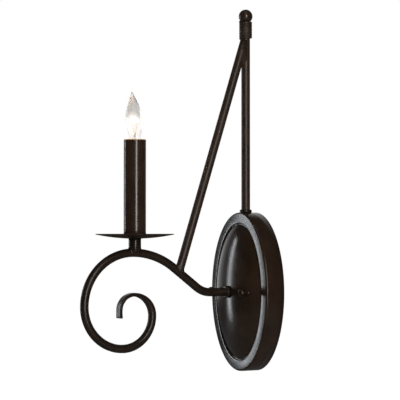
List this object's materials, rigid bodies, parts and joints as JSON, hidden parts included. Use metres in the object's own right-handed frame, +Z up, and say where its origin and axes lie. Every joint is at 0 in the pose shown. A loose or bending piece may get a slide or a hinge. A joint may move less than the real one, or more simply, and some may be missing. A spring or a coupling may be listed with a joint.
{
  "type": "torch sconce",
  "caption": "Wall sconce with an oval plate, a scrolled tube arm holding a candle lamp on a drip pan, and a tall mast with a slanting brace bound with wire under a ball.",
  "frame": {"origin": "middle of the mounting strap's back on the wall, level with the arm", "axes": "+Z up, +Y into the wall, -Y out into the room, X along the wall"},
  "size_m": [0.159, 0.2807, 0.5264],
  "materials": {
    "bronze_paint": "satin oil-rubbed bronze enamel over steel",
    "zinc_steel": "zinc-plated steel",
    "socket_phenolic": "moulded phenolic",
    "contact_brass": "plain brass",
    "base_nickel": "nickel-plated brass",
    "base_insulator": "black glass",
    "clear_glass": "clear, polished",
    "lamp_wire": "nickel and tungsten wire",
    "hot_insulation": "black PVC",
    "neutral_insulation": "white PVC",
    "bare_copper": "bare copper",
    "cap_plastic": "moulded orange plastic"
  },
  "bodies": {
    "fixture": {"canopy_shell": "bronze_paint", "ball_nuts": "bronze_paint", "scroll_arm": "bronze_paint", "arm_collar": "bronze_paint", "mast_rod": "bronze_paint", "mast_collar": "bronze_paint", "brace_rod": "bronze_paint", "wire_wrap": "bronze_paint", "finial_ball": "bronze_paint", "candle_stem": "bronze_paint", "drip_pan": "bronze_paint", "mounting_strap": "zinc_steel", "mounting_studs": "zinc_steel", "stud_lock_nuts": "zinc_steel", "arm_nipple": "zinc_steel", "arm_washer": "zinc_steel", "arm_lock_nut": "zinc_steel", "mast_screw": "zinc_steel", "mast_washer": "zinc_steel", "stem_nipple": "zinc_steel", "stem_nut": "zinc_steel", "socket_leg": "zinc_steel", "socket_screw": "zinc_steel", "ground_screw": "zinc_steel", "socket_shell": "contact_brass", "socket_contact": "contact_brass", "ground_wire": "bare_copper", "socket_body": "socket_phenolic", "hot_wire": "hot_insulation", "neutral_wire": "neutral_insulation", "wire_nuts": "cap_plastic"},
    "candle_cover": {"candle_sleeve": "bronze_paint"},
    "bulb_carrier": {"bulb_contact": "base_nickel"},
    "bulb": {"bulb_glass": "clear_glass", "bulb_base_shell": "base_nickel", "bulb_insulator": "base_insulator", "bulb_mount": "clear_glass", "bulb_leads": "lamp_wire", "bulb_filament": "lamp_wire"}
  },
  "joints": [
    {"name": "sleeve_lift", "type": "slide", "parent": "fixture", "child": "candle_cover", "axis": [0, 0, 1], "range_m": [0, 0.21]},
    {"name": "bulb_lift", "type": "slide", "parent": "fixture", "child": "bulb_carrier", "axis": [0, 0, 1], "range_m": [0, 0.01018]},
    {"name": "bulb_turn", "type": "hinge", "parent": "bulb_carrier", "child": "bulb", "pos_m": [0, -0.197, 0.1935], "axis": [0, 0, 1], "range_deg": [0, 1440]}
  ],
  "couplings": [
    {"joint": "bulb_lift", "follows": "bulb_turn", "m_per_rad": 0.00040425}
  ]
}
